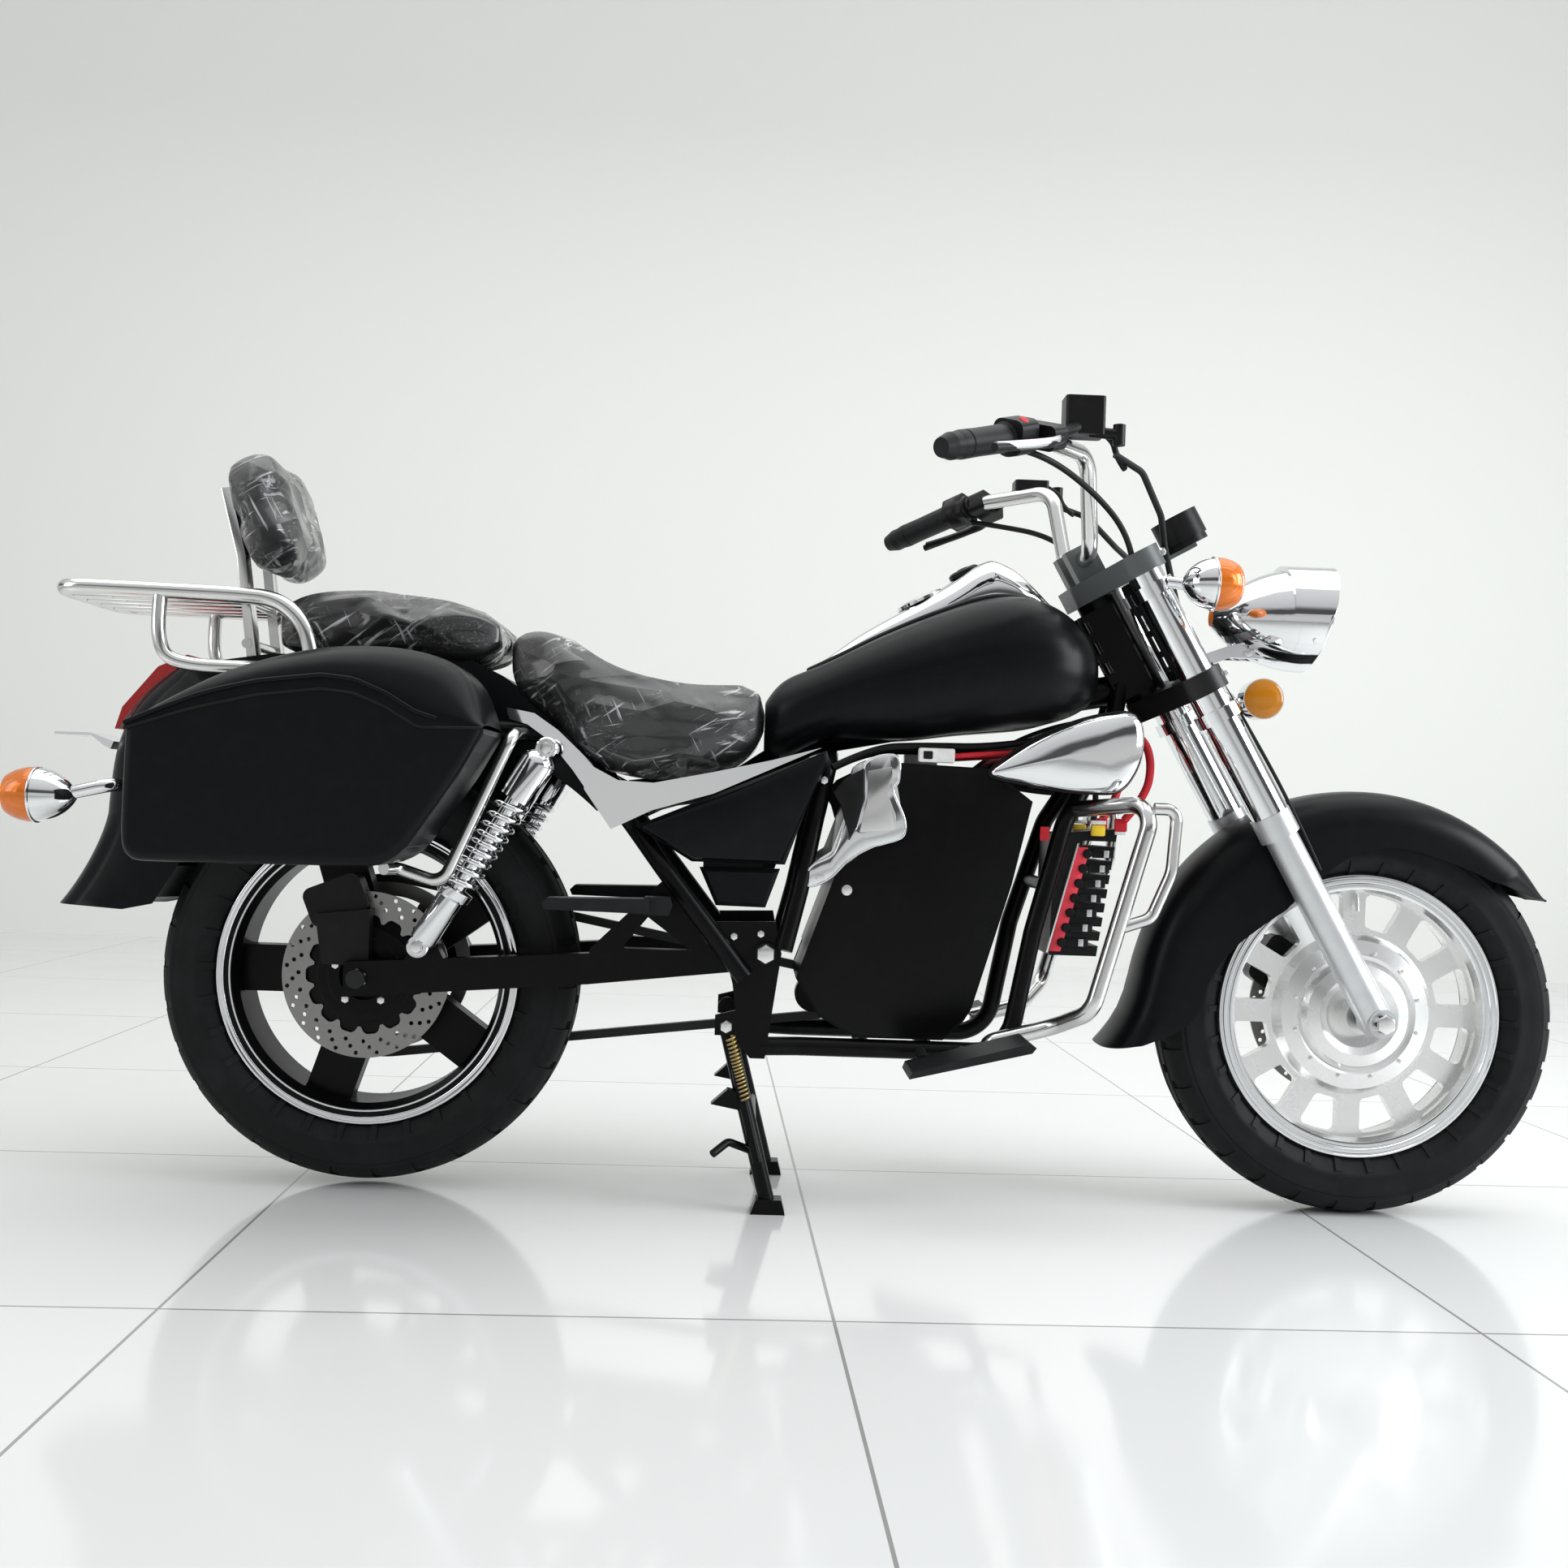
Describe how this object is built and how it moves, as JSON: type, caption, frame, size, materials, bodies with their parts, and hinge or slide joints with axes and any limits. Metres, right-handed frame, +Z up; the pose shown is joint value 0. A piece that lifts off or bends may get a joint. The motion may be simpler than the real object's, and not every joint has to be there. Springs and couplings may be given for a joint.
{
  "type": "electric cruiser motorcycle",
  "caption": "Black electric cruiser motorcycle with chrome guards, saddlebags, luggage rack and backrest, standing on its centre stand",
  "frame": {"origin": "under the middle of the machine's box, on the floor", "axes": "+X forward, +Y to the rider's left, +Z up"},
  "size_m": [2.348, 0.8316, 1.216],
  "materials": {
    "tyre_rubber": "matt black rubber",
    "cast_alloy": "satin cast alloy",
    "black_paint": "satin black paint",
    "frame_paint": "satin black paint on steel",
    "disc_steel": "ground steel",
    "dark_steel": "oiled steel",
    "chrome_plate": "bright plating",
    "grip_rubber": "black moulded rubber",
    "black_plastic": "black moulded plastic",
    "clear_glass": "clear fluted glass",
    "red_lens": "red lens",
    "seat_leather": "black grained seat cover"
  },
  "bodies": {
    "chassis": {"drive_chain": "dark_steel", "frame": "frame_paint", "battery_box": "frame_paint", "tank": "black_paint", "tank_console": "chrome_plate", "tank_scoops": "chrome_plate", "cooler": "black_plastic", "side_covers": "black_paint", "side_trims": "chrome_plate", "rear_fender": "black_paint", "tail_light": "red_lens", "plate_bracket": "chrome_plate", "rear_lamps": "chrome_plate", "seat_front": "seat_leather", "seat_rear": "seat_leather", "rack": "chrome_plate", "backrest": "seat_leather", "bag_right": "black_paint", "bag_left": "black_paint", "bag_stays": "chrome_plate", "swingarm": "frame_paint", "shocks": "chrome_plate", "passenger_pegs": "grip_rubber", "rear_caliper": "cast_alloy", "rear_axle": "dark_steel", "crash_bars": "chrome_plate", "floorboards": "grip_rubber"},
    "steering": {"fork_sliders": "cast_alloy", "fork_tubes": "chrome_plate", "front_axle": "dark_steel", "handlebar": "chrome_plate", "fork_clamps": "cast_alloy", "grips": "grip_rubber", "controls": "black_plastic", "hoses": "grip_rubber", "speedometer": "chrome_plate", "headlamp": "chrome_plate", "headlamp_lens": "clear_glass", "front_lamps": "chrome_plate", "front_fender": "black_paint", "front_caliper": "cast_alloy"},
    "front_wheel": {"front_tyre": "tyre_rubber", "front_rim": "cast_alloy", "front_disc": "disc_steel"},
    "rear_wheel": {"rear_tyre": "tyre_rubber", "rear_rim": "black_paint", "rear_disc": "disc_steel", "rear_sprocket": "disc_steel"},
    "centre_stand": {"centre_stand": "frame_paint"},
    "bag_lid_right": {"bag_lid_right": "black_paint"},
    "bag_lid_left": {"bag_lid_left": "black_paint"}
  },
  "joints": [
    {"name": "steering_head", "type": "hinge", "parent": "chassis", "child": "steering", "pos_m": [0.47881, 0, 0.88078], "axis": [-0.4909, 0, 0.8712], "range_deg": [-34, 34]},
    {"name": "front_wheel_spin", "type": "hinge", "parent": "steering", "child": "front_wheel", "pos_m": [0.863, 0, 0.311], "axis": [0, 1, 0], "continuous": true},
    {"name": "rear_wheel_spin", "type": "hinge", "parent": "chassis", "child": "rear_wheel", "pos_m": [-0.678, 0, 0.328], "axis": [0, 1, 0], "continuous": true},
    {"name": "centre_stand_pivot", "type": "hinge", "parent": "chassis", "child": "centre_stand", "pos_m": [-0.125, 0, 0.275], "axis": [0, 1, 0], "range_deg": [0, 78]},
    {"name": "bag_lid_right_hinge", "type": "hinge", "parent": "chassis", "child": "bag_lid_right", "pos_m": [-0.703, -0.197, 0.745], "axis": [-1, 0, 0], "range_deg": [0, 60]},
    {"name": "bag_lid_left_hinge", "type": "hinge", "parent": "chassis", "child": "bag_lid_left", "pos_m": [-0.703, 0.197, 0.745], "axis": [1, 0, 0], "range_deg": [0, 60]}
  ]
}
